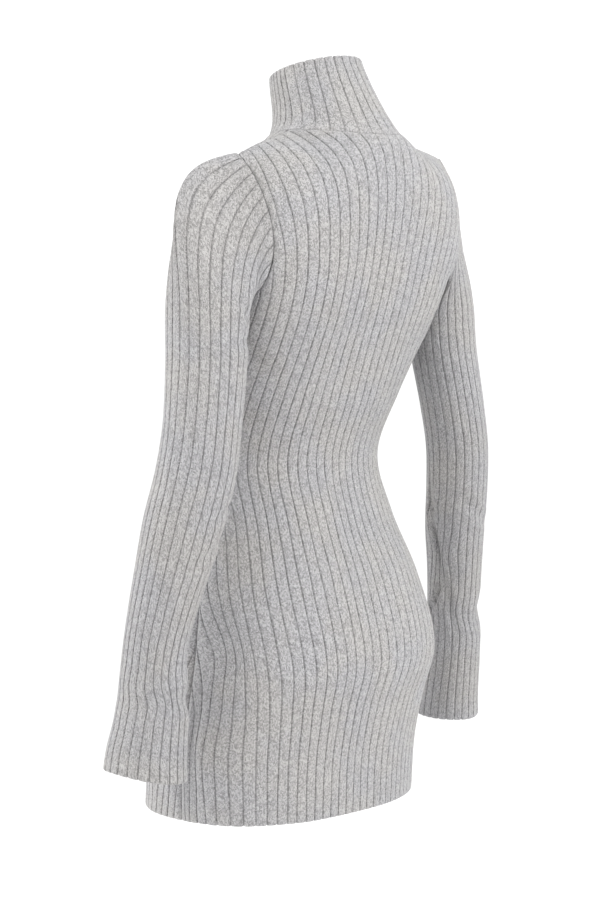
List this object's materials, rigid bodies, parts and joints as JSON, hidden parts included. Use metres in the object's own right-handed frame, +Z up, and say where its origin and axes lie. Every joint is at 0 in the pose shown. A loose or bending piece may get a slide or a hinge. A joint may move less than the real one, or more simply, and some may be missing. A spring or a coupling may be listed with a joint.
{
  "type": "sweater dress",
  "caption": "Rib-knit sweater dress with a standing collar, long sleeves flared at the cuff and a short close skirt, hollow in its worn pose.",
  "frame": {"origin": "middle of the neck opening, 4 mm above the sides of its seam, where the dress is held by a wearer or a dress form", "axes": "+Z up, +Y towards the wearer's back, +X towards the wearer's left"},
  "size_m": [0.5944, 0.2997, 0.8493],
  "materials": {
    "knit": "matt marled rib knit"
  },
  "bodies": {
    "root": {"back_panel": "knit", "front_panel": "knit", "left_sleeve": "knit", "right_sleeve": "knit", "collar": "knit"}
  },
  "joints": []
}
